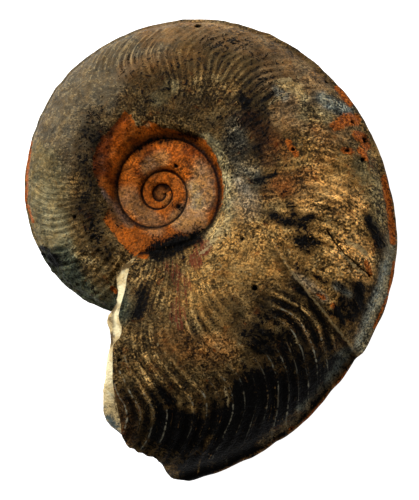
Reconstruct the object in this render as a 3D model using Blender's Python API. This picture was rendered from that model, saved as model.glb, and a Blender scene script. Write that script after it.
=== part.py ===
"""Fossil ammonite of the genus Protogrammoceras, one solid piece of stone.

The shell is a flat spiral. Every whorl has the same section, which grows by a
constant ratio each turn, so the whole shell is one band that winds outward:
from the seam on the whorl inside it, over the umbilical shoulder and the
flank, to the keel, and back on the other side. The last whorl ends in an old
break. The fossil lies on one flank. Metres, +Z up, +Y along the longest way.
"""

import math

import bmesh
import bpy
from mathutils import Matrix, Vector

MM = 0.001

# The spiral. Growth angles are in degrees, zero where the last whorl begins.
KEEL_RADIUS_AT_BREAK = 67.0
REFERENCE_GROWTH = 334.0
GROWTH_PER_TURN = 2.33
START_DIRECTION = 250.0
INNERMOST_GROWTH = -845.0
BREAK_GROWTH = 355.0
DEGREES_PER_COLUMN = 3.0
COLUMNS_PER_TURN = 120

# The seam between two whorls, as a share of the keel radius
SEAM_SHARE = 0.2857
WALL_WIDTH_SHARE = 0.078
SEAM_SHIFT = ((-90, 0.01), (60, -0.01), (150, 0.03), (230, -0.01), (280, -0.06),
              (300, -0.13), (320, -0.20), (342, -0.25), (362, -0.22))

# The keel is not a perfect spiral: small shares added to its radius
KEEL_SHIFT = ((0, 0.0), (40, -0.009), (90, -0.017), (120, 0.0), (150, -0.014),
              (180, -0.022), (210, -0.028), (240, -0.012), (270, 0.025),
              (289, 0.030), (292, 0.012), (310, 0.020), (334, 0.024), (362, 0.022))

# The whorl's section: radius and half thickness, as shares of the keel radius
SECTION = ((0.25, 0.128), (0.36, 0.153), (0.44, 0.186), (0.54, 0.198), (0.66, 0.190),
           (0.75, 0.168), (0.83, 0.138), (0.90, 0.100), (0.943, 0.068),
           (0.966, 0.041), (1.0, 0.0))
INNER_ROWS = 3
OUTER_SHARES = (0.75, 0.83, 0.90, 0.943, 0.966, 1.0)

# Ribs bend forward, back and forward again. One rib takes two columns.
RIB_SWING = ((0.28, 0.0), (0.36, 4.0), (0.50, 7.0), (0.58, 5.0), (0.66, 0.0), (0.76, -2.5),
             (0.83, -1.5), (0.90, 2.0), (0.966, 6.5), (1.0, 8.0))
RIB_HEIGHT_SHARE = 0.0095
RIB_STRENGTH = ((0.30, 0.0), (0.38, 0.35), (0.50, 0.75), (0.66, 0.9), (0.80, 1.0),
                (0.90, 0.8), (0.943, 0.25), (0.966, 0.0))

# The old break runs from the umbilicus back towards the keel
BREAK_BLEND_COLUMNS = 20
BREAK_SWING = ((0.20, 0.0), (0.36, -1.5), (0.50, -4.0), (0.66, -5.0), (0.79, -4.5),
               (0.835, -7.0), (0.88, -12.0), (0.93, -17.0), (1.0, -20.5))
BREAK_BULGE = 2.0

# A halt in growth left a low step across the flank
HALT_LINE = ((0.36, 262.0), (0.49, 273.0), (0.62, 282.0), (0.745, 286.0), (0.875, 289.0),
             (1.0, 291.0))
HALT_DROP = 0.7
HALT_FADE_DEGREES = 26.0

# Flaked patch beside the umbilicus, where the outer layer is gone
FLAKED_GROWTHS = (22.0, 158.0)
FLAKED_SHARES = (0.30, 0.47)
FLAKE_DEPTH = 0.35

# Small round pits in the upper flank: growth angle, radius share and width
PITS = ((233.5, 0.950, 1.3), (238.5, 0.960, 1.6), (241.5, 0.875, 1.2), (245.0, 0.920, 1.2),
        (239.0, 0.655, 1.3), (295.5, 0.570, 1.5))

# The resting pose, and how far the lowest bulges are worn flat
REST_TILT_X = -4.05
REST_TILT_Y = 0.69
WORN_DEPTH = 0.55

STONE_COLOR = (0.16, 0.115, 0.065, 1.0)
STONE_ROUGHNESS = 0.55


def between(points, position):
    """Value at a position on a smooth curve through a list of points."""
    if position <= points[0][0]:
        return points[0][1]
    for (x0, y0), (x1, y1) in zip(points, points[1:]):
        if position <= x1:
            return y0 + (y1 - y0) * (position - x0) / (x1 - x0)
    return points[-1][1]


def spiral_radius(growth):
    """Keel radius of the perfect spiral, in millimetres."""
    turns = (growth - REFERENCE_GROWTH) / 360.0
    return KEEL_RADIUS_AT_BREAK * GROWTH_PER_TURN ** turns


def keel_radius(growth):
    """Keel radius with the small departures of this shell."""
    return spiral_radius(growth) * (1.0 + between(KEEL_SHIFT, growth))


def seam_radius(growth):
    """Radius of the seam where a whorl meets the one inside it."""
    return spiral_radius(growth) * SEAM_SHARE * (1.0 + between(SEAM_SHIFT, growth))


def seam_height(growth):
    """Height of the seam, which lies on the flank of the whorl inside."""
    inner_keel = keel_radius(growth - 360.0)
    share = seam_radius(growth) / inner_keel
    return between(SECTION, share) * inner_keel


def row_shares(growth):
    """Radius shares of the section's rows, from the seam to the keel."""
    keel = keel_radius(growth)
    seam = seam_radius(growth) / keel
    next_seam = seam_radius(growth + 360.0) / keel
    shoulder = seam + WALL_WIDTH_SHARE
    flank = 0.5 * (shoulder + next_seam)
    return (seam, shoulder, flank, next_seam) + OUTER_SHARES


def halt_drop(growth, share):
    """How far the shell is lowered after the halt in growth."""
    past = growth - between(HALT_LINE, share)
    if past < 0.0:
        return 0.0
    return HALT_DROP * math.exp(-past / HALT_FADE_DEGREES)


def flake_drop(growth, share):
    """How far the flaked patch lies below the shell's outside."""
    inside_growth = FLAKED_GROWTHS[0] < growth < FLAKED_GROWTHS[1]
    inside_share = FLAKED_SHARES[0] < share < FLAKED_SHARES[1]
    return FLAKE_DEPTH if inside_growth and inside_share else 0.0


def section_point(column, row, upper):
    """Place one point of the shell, from its column and its row."""
    column_growth = INNERMOST_GROWTH + DEGREES_PER_COLUMN * column
    growth = column_growth + column_swing(column, row)
    share = row_shares(growth)[row]
    on_last_whorl = column >= column_count() - 1 - COLUMNS_PER_TURN
    radius = share * keel_radius(growth)
    height = between(SECTION, share) * keel_radius(growth)
    if row == 0:
        height = seam_height(growth)
    if row != 0 and (row != INNER_ROWS or on_last_whorl):
        side = 0.5 if column % 2 == 0 else -0.5
        rib = side * RIB_HEIGHT_SHARE * spiral_radius(growth)
        height += rib * between(RIB_STRENGTH, share)
    if on_last_whorl and row > 0 and share < 0.99:
        height -= halt_drop(growth, share)
        if upper:
            height -= flake_drop(growth, share)
    direction = math.radians(START_DIRECTION - growth)
    side = 1.0 if upper else -1.0
    return Vector((radius * math.cos(direction), radius * math.sin(direction), side * height)) * MM


def column_swing(column, row):
    """Degrees by which a point leads its column, for the ribs and the break."""
    share = row_shares(REFERENCE_GROWTH)[row]
    swing = 0.0
    if row not in (0, INNER_ROWS):
        swing = between(RIB_SWING, share)
    last = column_count() - 1
    nearness = 1.0 - (last - column) / BREAK_BLEND_COLUMNS
    if nearness > 0.0:
        ease = nearness * nearness * (3.0 - 2.0 * nearness)
        swing = swing * (1.0 - ease) + between(BREAK_SWING, share) * ease
    first = last - COLUMNS_PER_TURN
    near_first = 1.0 - abs(column - first) / (BREAK_BLEND_COLUMNS / 2)
    if near_first > 0.0 and row > INNER_ROWS:
        swing *= 1.0 - near_first
    return swing


def column_count():
    """Number of columns from the innermost whorl to the break."""
    return int(round((BREAK_GROWTH - INNERMOST_GROWTH) / DEGREES_PER_COLUMN)) + 1


class Shell:
    """The band of the shell as a mesh, with one vertex for each shared point."""

    def __init__(self):
        self.mesh = bmesh.new()
        self.vertices = {}
        self.rows = INNER_ROWS + len(OUTER_SHARES)
        self.last = column_count() - 1

    def vertex(self, column, row, upper):
        """The vertex at a column and row; a seam point belongs to two whorls."""
        if row == 0 and column >= COLUMNS_PER_TURN:
            column -= COLUMNS_PER_TURN
            row = INNER_ROWS
        key = (column, row, upper or row == self.rows)
        if key not in self.vertices:
            point = section_point(column, row, upper)
            self.vertices[key] = self.mesh.verts.new(point)
        return self.vertices[key]

    def face(self, corners):
        """Add one face, leaving out corners that are the same vertex."""
        unique = [corner for index, corner in enumerate(corners) if corner not in corners[:index]]
        if len(unique) > 2:
            self.mesh.faces.new(unique)

    def add_band(self, upper):
        """Skin one side: inner whorls up to the next seam, the last one to the keel."""
        for column in range(self.last):
            on_last_whorl = column >= self.last - COLUMNS_PER_TURN
            top_row = self.rows if on_last_whorl else INNER_ROWS
            for row in range(top_row):
                self.face([
                    self.vertex(column, row, upper),
                    self.vertex(column + 1, row, upper),
                    self.vertex(column + 1, row + 1, upper),
                    self.vertex(column, row + 1, upper),
                ])

    def add_centre(self, upper):
        """Close the middle with a low cap, the first chamber of the shell."""
        rim = [self.vertex(column, 0, upper) for column in range(COLUMNS_PER_TURN + 1)]
        rim += [self.vertex(0, row, upper) for row in range(INNER_ROWS - 1, 0, -1)]
        height = 1.2 * seam_height(INNERMOST_GROWTH + 360.0) * MM
        middle = self.mesh.verts.new((0.0, 0.0, height if upper else -height))
        for first, second in zip(rim, rim[1:] + rim[:1]):
            self.mesh.faces.new((middle, first, second))

    def around(self, column, first_row):
        """Vertices of one section, over the keel from the upper to the lower side."""
        upper = [self.vertex(column, row, True) for row in range(first_row, self.rows + 1)]
        lower = [self.vertex(column, row, False) for row in range(self.rows - 1, first_row - 1, -1)]
        return upper + lower

    def add_break(self):
        """Close the broken end between the last whorl and the one inside it."""
        outer = self.around(self.last, 0)
        inner = self.around(self.last - COLUMNS_PER_TURN, INNER_ROWS)
        middle = [outer[0]]
        for index in range(1, len(outer) - 1):
            along = index / (len(outer) - 1)
            place = along * (len(inner) - 1)
            low = min(int(place), len(inner) - 2)
            inside = inner[low].co.lerp(inner[low + 1].co, place - low)
            point = outer[index].co.lerp(inside, 0.3)
            lean = math.sin(math.pi * along)
            point += self.growth_direction(point) * BREAK_BULGE * MM * lean
            middle.append(self.mesh.verts.new(point))
        middle.append(outer[-1])
        self.zip_rings(outer, middle)
        self.zip_rings(middle, inner)

    def growth_direction(self, point):
        """The way in which the shell would have grown on from a point."""
        return Vector((point.y, -point.x, 0.0)).normalized()

    def zip_rings(self, first, second):
        """Join two lines of vertices that may differ in their number of points."""
        i = 0
        j = 0
        while i < len(first) - 1 or j < len(second) - 1:
            along_first = (i + 1) / (len(first) - 1)
            along_second = (j + 1) / (len(second) - 1)
            if along_first <= along_second:
                self.face([first[i], first[i + 1], second[j]])
                i += 1
            else:
                self.face([first[i], second[j + 1], second[j]])
                j += 1


def press_pits(fossil, collection):
    """Cut the small round pits out of the upper flank."""
    balls = bmesh.new()
    for growth, share, width in PITS:
        direction = math.radians(START_DIRECTION - growth)
        radius = share * keel_radius(growth)
        height = between(SECTION, share) * keel_radius(growth) - halt_drop(growth, share)
        place = Vector((radius * math.cos(direction), radius * math.sin(direction), height))
        bmesh.ops.create_icosphere(
            balls, subdivisions=1, radius=0.5 * width * MM, matrix=Matrix.Translation(place * MM))
    data = bpy.data.meshes.new("pit_cutter")
    balls.to_mesh(data)
    balls.free()
    cutter = bpy.data.objects.new("pit_cutter", data)
    collection.objects.link(cutter)
    cut = fossil.modifiers.new("pits", "BOOLEAN")
    cut.operation = "DIFFERENCE"
    cut.solver = "EXACT"
    cut.object = cutter
    depsgraph = bpy.context.evaluated_depsgraph_get()
    pitted = bpy.data.meshes.new_from_object(fossil.evaluated_get(depsgraph))
    fossil.modifiers.clear()
    fossil.data = pitted
    bpy.data.objects.remove(cutter, do_unlink=True)


def wear_flat(mesh):
    """Cut the lowest bulges flat, so that the fossil rests on real faces."""
    lowest = min(vertex.co.z for vertex in mesh.verts)
    geometry = list(mesh.verts) + list(mesh.edges) + list(mesh.faces)
    bmesh.ops.bisect_plane(
        mesh, geom=geometry, dist=1e-7, plane_co=(0.0, 0.0, lowest + WORN_DEPTH * MM),
        plane_no=(0.0, 0.0, 1.0), clear_inner=True)
    open_edges = [edge for edge in mesh.edges if edge.is_boundary]
    bmesh.ops.holes_fill(mesh, edges=open_edges, sides=0)


def lay_down(fossil):
    """Turn the fossil to its resting pose, wear its underside and centre it."""
    mesh = bmesh.new()
    mesh.from_mesh(fossil.data)
    turn = Matrix.Rotation(math.radians(REST_TILT_X), 4, "X")
    turn = Matrix.Rotation(math.radians(REST_TILT_Y), 4, "Y") @ turn
    bmesh.ops.transform(mesh, matrix=turn, verts=mesh.verts)
    wear_flat(mesh)
    bmesh.ops.dissolve_degenerate(mesh, dist=1e-6, edges=mesh.edges)
    bmesh.ops.triangulate(mesh, faces=mesh.faces)
    low = Vector([min(vertex.co[axis] for vertex in mesh.verts) for axis in range(3)])
    high = Vector([max(vertex.co[axis] for vertex in mesh.verts) for axis in range(3)])
    shift = Vector((-0.5 * (low.x + high.x), -0.5 * (low.y + high.y), -low.z))
    bmesh.ops.translate(mesh, verts=mesh.verts, vec=shift)
    mesh.to_mesh(fossil.data)
    mesh.free()


def stone_material():
    """Brown limestone and limonite."""
    material = bpy.data.materials.new("fossil_stone")
    material.use_nodes = True
    shader = material.node_tree.nodes["Principled BSDF"]
    shader.inputs["Base Color"].default_value = STONE_COLOR
    shader.inputs["Roughness"].default_value = STONE_ROUGHNESS
    shader.inputs["Metallic"].default_value = 0.0
    return material


def build_ammonite(collection):
    """Build the fossil as one closed solid."""
    shell = Shell()
    for upper in (True, False):
        shell.add_band(upper)
        shell.add_centre(upper)
    shell.add_break()
    bmesh.ops.recalc_face_normals(shell.mesh, faces=shell.mesh.faces)
    bmesh.ops.triangulate(shell.mesh, faces=shell.mesh.faces)
    data = bpy.data.meshes.new("ammonite")
    shell.mesh.to_mesh(data)
    shell.mesh.free()
    fossil = bpy.data.objects.new("ammonite", data)
    collection.objects.link(fossil)
    press_pits(fossil, collection)
    lay_down(fossil)
    fossil.data.materials.clear()
    fossil.data.materials.append(stone_material())


def main():
    for item in list(bpy.data.objects):
        bpy.data.objects.remove(item, do_unlink=True)
    collection = bpy.data.collections.new("fossil_ammonite")
    bpy.context.scene.collection.children.link(collection)
    build_ammonite(collection)


main()
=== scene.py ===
"""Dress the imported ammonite: one fine mesh of the fossil with its stone material.

The fine mesh follows the same spiral, section, ribs and break as the solid, at
about a quarter of its spacing, and lies in the same place. Its colours are laid on
in strokes, at places named by their pixel in the photograph.
"""

import math

import bmesh
import bpy
import numpy as np
from mathutils import Matrix, Vector


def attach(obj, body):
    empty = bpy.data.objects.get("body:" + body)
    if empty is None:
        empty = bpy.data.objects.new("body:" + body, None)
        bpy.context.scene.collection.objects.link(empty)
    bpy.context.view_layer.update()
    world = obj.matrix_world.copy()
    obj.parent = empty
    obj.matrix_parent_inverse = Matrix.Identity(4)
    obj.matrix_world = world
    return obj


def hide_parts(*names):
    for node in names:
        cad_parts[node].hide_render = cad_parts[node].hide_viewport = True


MM = 0.001

# The spiral. Growth angles are in degrees, zero where the last whorl begins.
KEEL_RADIUS_AT_BREAK = 67.0
REFERENCE_GROWTH = 334.0
GROWTH_PER_TURN = 2.33
START_DIRECTION = 250.0
INNERMOST_GROWTH = -845.0
BREAK_GROWTH = 355.0
COLUMNS_PER_TURN = 480

# The pole of the spiral in the object's frame, and the resting tilt
POLE = (-10.183, 12.117, 10.878)
REST_TILT_X = -4.05
REST_TILT_Y = 0.69

# The seam between two whorls, its wall and its groove, as shares of the keel radius.
# The groove's least width is in millimetres; the groove also sets where the painted shade in the seams
# lies.
SEAM_SHARE = 0.2857
WALL_WIDTH_SHARE = 0.078
WALL_ROUNDNESS = 1.7
GROOVE_WIDTH_SHARE = 0.011
GROOVE_LEAST_WIDTH = 0.18
GROOVE_DEPTH_SHARE = 0.018
SEAM_SHIFT = ((-90, 0.01), (60, -0.01), (150, 0.03), (230, -0.01), (280, -0.06),
              (300, -0.13), (320, -0.20), (342, -0.25), (362, -0.22))
KEEL_SHIFT = ((0, 0.0), (40, -0.009), (90, -0.017), (120, 0.0), (150, -0.014),
              (180, -0.022), (210, -0.028), (240, -0.012), (270, 0.025),
              (289, 0.030), (292, 0.012), (310, 0.020), (334, 0.024), (362, 0.022))
KEEL_WEAR_SHARE = 0.0035

# The whorl's section: radius and half thickness, as shares of the keel radius
SECTION = ((0.20, 0.120), (0.28, 0.136), (0.36, 0.158), (0.44, 0.184), (0.54, 0.197),
           (0.66, 0.190), (0.75, 0.169), (0.83, 0.139), (0.90, 0.101), (0.93, 0.079),
           (0.950, 0.060), (0.966, 0.037), (0.974, 0.021), (0.982, 0.0155),
           (0.992, 0.012), (0.998, 0.006), (1.0, 0.0))
WALL_ROWS = 6
FLANK_ROWS = 12
OUTER_ROWS = 56
LOWER_WALL_ROWS = 4
LOWER_FLANK_ROWS = 7
LOWER_OUTER_ROWS = 24
KEEL_ROW_CROWDING = 1.35
MIDDLE_RISE = 1.1

# Ribs: how many have passed at each growth angle, and how they bend across the flank
RIB_COUNT = ((-845, -200), (-360, -88), (0, 0), (60, 13.5), (110, 28.5), (230, 66), (355, 104))
RIB_SWING = ((0.28, -2.0), (0.36, 2.5), (0.48, 5.5), (0.56, 4.5), (0.66, 0.0), (0.76, -3.5),
             (0.83, -2.0), (0.90, 2.0), (0.966, 6.5), (1.0, 8.0))
PLAIN_RIB_SWING = ((0.28, -3.5), (0.50, -4.0), (0.66, -4.0), (0.76, -3.0), (0.86, 0.5),
                   (0.93, 3.5), (0.966, 5.5), (1.0, 7.0))
RIB_BEND = ((-845, 0.0), (110, 0.0), (150, 0.8), (185, 0.8), (205, 0.2), (250, 0.2),
            (290, 0.6), (330, 1.0), (355, 1.15))
RIB_ACROSS = ((0.30, 0.0), (0.42, 0.08), (0.55, 0.30), (0.66, 0.75), (0.74, 1.0), (0.86, 1.0),
              (0.93, 0.55), (0.955, 0.0))
RIB_ALONG = ((-845, 0.35), (-100, 0.35), (-10, 0.9), (30, 1.1), (62, 1.0), (85, 0.4),
             (120, 0.35), (140, 0.7), (185, 0.5), (225, 0.35), (265, 0.45), (292, 0.8),
             (325, 1.1), (355, 1.3))
RIB_HEIGHT_SHARE = 0.0075
RIB_SHARPNESS = 1.5
RIB_FOOT = 0.35
RIB_UNEVENNESS = 0.45
RIB_WANDER_DEGREES = 1.2

# The old break runs from the umbilicus back towards the keel
BREAK_BLEND_DEGREES = 60.0
BREAK_SWING = ((0.20, 0.0), (0.28, -0.5), (0.375, -2.0), (0.445, -3.0), (0.465, -5.0),
               (0.50, -5.5), (0.53, -3.5), (0.60, -4.5), (0.68, -6.0), (0.745, -7.5),
               (0.845, -9.0), (0.88, -12.0), (0.91, -15.5), (0.94, -16.5), (0.975, -17.0),
               (1.0, -20.5))
# How far the broken face stands out past the shell's edge, by radius share
BREAK_BULGE = ((0.26, 0.2), (0.28, 1.2), (0.32, 1.3), (0.36, 0.6), (0.385, 0.0), (0.41, 0.0),
               (0.445, 0.9), (0.47, 1.5), (0.495, 0.8), (0.51, 0.1), (0.54, 0.1), (0.57, 0.8),
               (0.60, 1.5), (0.64, 2.0), (0.68, 2.5), (0.705, 3.4), (0.745, 4.0), (0.79, 4.1),
               (0.82, 3.4), (0.845, 1.2), (0.87, 0.4), (0.90, 1.0), (0.94, 0.5), (1.0, 0.0))
# Rings over the broken face, as shares of the way from its edge to the whorl inside it
BREAK_RINGS = (0.02, 0.05, 0.09, 0.14, 0.21, 0.30, 0.40, 0.52, 0.66, 0.82, 0.93)
BREAK_MIDDLE_BULGE = 2.0
BREAK_ROUGHNESS = 0.45
BREAK_END_SLOPE = 12.0

# A halt in growth left a low step across the flank
HALT_LINE = ((0.36, 262.0), (0.49, 273.0), (0.62, 282.0), (0.745, 286.0), (0.875, 289.0),
             (1.0, 291.0))
HALT_DROP = 0.7
HALT_DROP_WIDTH = 0.7
HALT_FADE_DEGREES = 26.0
HALT_LIP = 0.25
HALT_LIP_PLACE = -0.4
HALT_LIP_WIDTH = 0.5

# The stone's roughness: lumps that grow with the whorl, grit, and the flaked area
LUMP_HEIGHT = 0.17
LUMP_KEEL_RADIUS = 60.0
GRIT_HEIGHT = 0.08
FLAKE_DEPTH = 0.32
FLAKE_EDGE_UNEVENNESS = 1.5

# Noise: the size of its features in millimetres or degrees, its seed and its layers
KEEL_WEAR_NOISE = (4.0, 71, 3)
RIB_WANDER_NOISE = (14.0, 5, 1)
RIB_HEIGHT_NOISE = (7.0, 9, 1)
FLAKE_NOISE = (1.6, 21, 4)
LUMP_NOISE = (5.0, 3, 4)
GRIT_NOISE = (1.5, 31, 2)
BREAK_NOISE = (3.0, 11, 4)
PIT_NOISE = (0.8, 51, 2)
PAINT_NOISE = (4.0, 41, 4)
NOISE_LAYER_STRENGTH = 0.55
SEED_SHIFT = 17.31
HASH_FACTORS = (73856093, 19349663, 83492791)
HASH_SPREAD = 2654435761
HASH_SEED_STEP = 40503
HASH_MIX = 2246822519
LOW_32_BITS = 0xFFFFFFFF

# The camera, from the photograph: it looks down from the side of the keel
CAMERA_AIM = (1.56, -1.91, 10.9)
CAMERA_DISTANCE = 255.4
CAMERA_TILT = 14.47
CAMERA_SIDE = -18.69
CAMERA_ROLL = -1.51
CAMERA_LENS = 76.5
CAMERA_SENSOR = 36.0
PHOTO_WIDTH = 419
PHOTO_HEIGHT = 500
# Millimetres of the fossil under one pixel of the photograph
PIXEL_WIDTH = 0.2423

# The stage: lengths in metres, and each light's place, size and power
FLOOR_HALF_WIDTH = 3.0
FLOOR_COLOR = (0.9, 0.9, 0.9, 1.0)
FLOOR_ROUGHNESS = 0.9
FLOOR_GLOW = 0.95
WHITE = (1.0, 1.0, 1.0, 1.0)
WORLD_STRENGTH = 0.15
CAMERA_NEAREST = 0.01
LIGHTS = {
    "key": ((-0.45, 0.55, 0.42), 0.3, 8.0),
    "fill": ((0.5, 0.1, 0.6), 0.8, 1.5),
}

# Noise in the stone: scale, detail, roughness and distortion
STONE_NOISES = {
    "cloud": (170.0, 3.0, 0.5, 0.8),
    "patch": (430.0, 4.0, 0.6, 1.2),
    "grain": (1000.0, 3.0, 0.6, 1.0),
    "speck": (2000.0, 2.0, 0.6, 0.0),
    "fleck": (1500.0, 2.0, 0.5, 0.0),
    "hue": (330.0, 5.0, 0.75, 0.5),
    "unevenness": (120.0, 2.0, 0.5, 0.5),
}
# Noise in lines along the ribs and in the painted highlights on their crests, and its stretch by rib
# number, radius and distance
LINE_NOISE = (1.0, 3.0, 0.6, 0.0)
LINE_STRETCH = (4.2, 0.13, 0.0)
CREST_NOISE = (1.0, 2.0, 0.6, 0.0)
CREST_STRETCH = (1.3, 0.07, 0.0)

# Cool and warm tints over the body and over the crust
BODY_TINTS = ((0.92, 1.0, 1.06, 1.0), (1.12, 0.97, 0.72, 1.0))
CRUST_TINTS = ((0.85, 0.95, 1.3, 1.0), (1.1, 1.0, 0.7, 1.0))
ROUGHNESS = 0.5
SPECULAR_LEVEL = 0.04
BUMP_STRENGTH = 0.6
BUMP_DEPTH = 0.0004

# Stone colours, in screen values
COLORS = {
    "ash": (100, 88, 69),
    "olive": (108, 96, 66),
    "pale_olive": (142, 131, 98),
    "umber": (90, 70, 40),
    "walnut": (118, 92, 62),
    "cinnamon": (120, 82, 42),
    "ochre": (144, 109, 60),
    "tan": (174, 132, 78),
    "cream": (168, 146, 102),
    "lilac": (130, 114, 92),
    "charcoal": (84, 78, 64),
    "slate": (84, 92, 88),
    "green_grey": (72, 80, 66),
    "rust": (104, 46, 12),
    "orange": (176, 92, 26),
    "amber": (178, 132, 84),
    "maroon": (48, 18, 9),
    "keel_grey": (146, 140, 118),
    "blue_grey": (100, 110, 108),
    "crimson": (100, 34, 26),
    "mahogany": (72, 42, 20),
    "sienna": (116, 68, 30),
    "flame": (205, 104, 30),
    "calcite": (250, 234, 186),
    "black": (5, 4, 3),
}

# Lines of places in the photograph, in pixels, that strokes of several kinds follow
UPPER_RIM = ((150, 36), (200, 30), (250, 42), (285, 62), (318, 88))
LOWER_BAND = ((354, 350), (336, 372), (312, 400), (286, 426), (262, 442))
LOWER_RIM = ((352, 366), (328, 394), (300, 426), (262, 452), (215, 476))
CHAMBER_MIDDLE = ((215, 318), (250, 310), (282, 296))
CHAMBER_ACROSS = ((170, 342), (200, 350), (222, 350))
NEAR_BREAK = ((122, 345), (140, 352), (150, 372))

# A stroke or a rough area fades out between these shares of its half width
STROKE_FADE = (1.3, 0.45)
ROUGH_FADE = (1.3, 0.5)
STROKE_EDGE_UNEVENNESS = 0.28

# Broad soft strokes over the flanks: colour, half width in pixels, strength and places
STROKES = (
    ("ash", 30, 0.95, (44, 165), (46, 125), (60, 95), (85, 70), (118, 50), (150, 38)),
    ("ash", 26, 0.9, (108, 82), (86, 108), (72, 145)),
    ("olive", 24, 0.95, (44, 165), (40, 195), (52, 232), (66, 262), (80, 285)),
    ("pale_olive", 13, 0.75, (42, 195), (52, 222), (60, 240)),
    ("umber", 12, 0.6, (98, 118), (84, 142), (80, 180), (84, 220), (92, 246)),
    ("walnut", 13, 0.95, *UPPER_RIM),
    ("cinnamon", 15, 0.4, (130, 72), (165, 64), (195, 60)),
    ("umber", 20, 0.8, (140, 92), (175, 84), (210, 74)),
    ("umber", 24, 0.9, (150, 100), (190, 108), (222, 122), (250, 105), (262, 82)),
    ("olive", 9, 0.7, (158, 98), (170, 88)),
    ("charcoal", 14, 0.95, (238, 128), (238, 150), (236, 176), (250, 178)),
    ("walnut", 20, 0.8, (275, 74), (300, 88), (300, 110)),
    ("walnut", 20, 0.8, (290, 112), (315, 122), (336, 134)),
    ("olive", 10, 0.7, (306, 112), (326, 118)),
    ("ash", 9, 0.8, (318, 98), (332, 104), (348, 110)),
    ("ochre", 30, 0.95, (296, 165), (330, 170), (352, 196), (340, 232), (300, 222)),
    ("tan", 14, 0.7, (330, 188), (352, 196), (340, 210)),
    ("tan", 12, 0.8, (345, 240), (364, 250)),
    ("olive", 12, 0.8, (360, 165), (374, 190), (380, 220)),
    ("cinnamon", 12, 0.7, (272, 192), (300, 186)),
    ("lilac", 14, 0.9, (236, 192), (248, 206), (240, 214)),
    ("ochre", 34, 0.95, (232, 240), (214, 268), (250, 262), (270, 262)),
    ("ochre", 24, 0.85, (290, 240), (310, 262), (330, 262)),
    ("cream", 10, 0.8, (228, 214), (222, 228), (212, 238)),
    ("cream", 7, 0.6, (214, 146), (226, 170), (230, 196)),
    ("umber", 24, 0.5, *CHAMBER_MIDDLE),
    ("ochre", 18, 0.7, (184, 296), (200, 300), (214, 318)),
    ("cinnamon", 16, 0.7, *CHAMBER_ACROSS),
    ("umber", 14, 0.85, (136, 292), (146, 312), (136, 328)),
    ("umber", 14, 0.8, *NEAR_BREAK),
    ("umber", 20, 0.85, (184, 384), (205, 384)),
    ("umber", 34, 0.9, (330, 392), (295, 400), (262, 388), (240, 420), (205, 440), (165, 425)),
    ("umber", 22, 0.6, (262, 338), (284, 348), (300, 372)),
    ("umber", 14, 0.8, (126, 400), (130, 430)),
    ("umber", 12, 0.9, (150, 460), (175, 458)),
    ("maroon", 9, 0.5, (126, 405), (128, 438)),
    ("ochre", 14, 0.85, (300, 270), (322, 292), (338, 312)),
    ("walnut", 9, 0.6, (300, 330), (318, 345)),
    ("keel_grey", 7, 0.4, (392, 238), (388, 262)),
    ("keel_grey", 4, 0.6, (391, 248), (388, 268)),
    ("keel_grey", 6, 0.9, (387, 270), (380, 299), (369, 322), (359, 348)),
    ("blue_grey", 5, 0.6, (384, 266), (380, 286), (368, 312), (358, 340)),
    ("ash", 5, 0.8, *LOWER_BAND),
    ("cinnamon", 3, 0.9, *LOWER_RIM),
    ("sienna", 12, 0.8, (280, 184), (296, 187), (308, 178)),
    ("mahogany", 12, 0.8, (252, 122), (266, 142), (270, 158)),
    ("sienna", 8, 0.6, (276, 140), (288, 156)),
    ("cinnamon", 10, 0.6, (318, 132), (330, 150), (318, 168)),
    ("ochre", 8, 0.7, (304, 138), (296, 160)),
    ("blue_grey", 7, 0.75, (322, 96), (336, 106), (346, 110)),
    ("blue_grey", 6, 0.6, (276, 90), (284, 96)),
    ("cream", 6, 0.7, (282, 84), (298, 88), (304, 98)),
    ("tan", 20, 0.7, (312, 196), (334, 196), (348, 206)),
    ("tan", 12, 0.8, (340, 256), (360, 264), (366, 276)),
    ("lilac", 6, 0.8, (296, 276), (310, 286), (324, 298)),
    ("blue_grey", 4, 0.6, (336, 286), (350, 296)),
    ("pale_olive", 6, 0.8, (206, 138), (218, 152), (226, 178), (226, 206)),
    ("green_grey", 22, 0.9, (60, 262), (84, 290), (112, 305)),
    ("olive", 10, 0.6, (96, 272), (110, 292)),
    ("umber", 10, 0.8, (88, 268), (102, 280)),
    ("slate", 6, 0.8, (298, 406), (322, 380), (346, 352)),
)
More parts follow.
